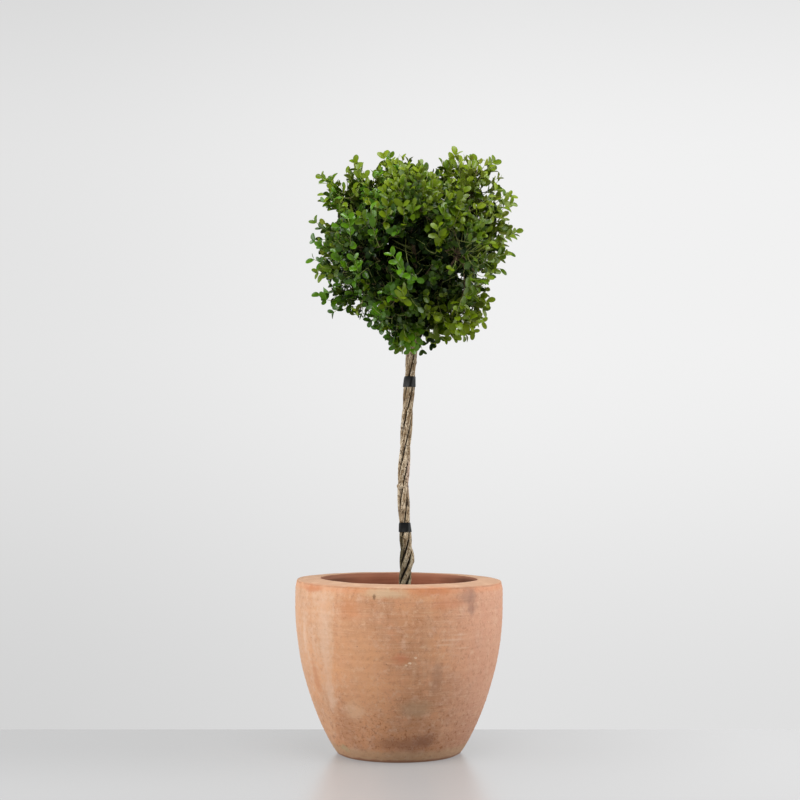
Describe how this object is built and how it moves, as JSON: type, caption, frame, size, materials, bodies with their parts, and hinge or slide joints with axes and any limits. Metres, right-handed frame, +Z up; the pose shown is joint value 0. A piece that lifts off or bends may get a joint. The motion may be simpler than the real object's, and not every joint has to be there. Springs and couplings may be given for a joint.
{
  "type": "potted boxwood topiary tree",
  "caption": "Clipped boxwood standard: plaited stems carry a dense round crown of small leaves above a plain swelling terracotta pot.",
  "frame": {"origin": "centre of the pot's flat underside, on the floor", "axes": "+Z up along the pot's axis, +X to the right and +Y away as seen from the pictured front"},
  "size_m": [0.4449, 0.417, 1.2076],
  "materials": {
    "terracotta": "matte fired clay",
    "soil": "crumbly",
    "bark": "rough",
    "tape": "satin",
    "leaf": "waxy"
  },
  "bodies": {
    "root": {"bough_back_left": "bark", "bough_back_lower": "bark", "bough_back_right": "bark", "bough_front_left": "bark", "bough_front_lower": "bark", "bough_front_right": "bark", "bough_left": "bark", "bough_lower_left": "bark", "bough_lower_right": "bark", "bough_right": "bark", "bough_top": "bark", "foliage_back_left": "leaf", "foliage_back_lower": "leaf", "foliage_back_right": "leaf", "foliage_back_upper": "leaf", "foliage_foot_tuft": "leaf", "foliage_front_left": "leaf", "foliage_front_lower": "leaf", "foliage_front_right": "leaf", "foliage_front_upper": "leaf", "foliage_left": "leaf", "foliage_lower_left": "leaf", "foliage_lower_right": "leaf", "foliage_right": "leaf", "foliage_top": "leaf", "foliage_top_left": "leaf", "foliage_top_right": "leaf", "pot": "terracotta", "soil": "soil", "stem_1": "bark", "stem_2": "bark", "stem_3": "bark", "stem_4": "bark", "tape_lower": "tape", "tape_upper": "tape"}
  },
  "joints": []
}
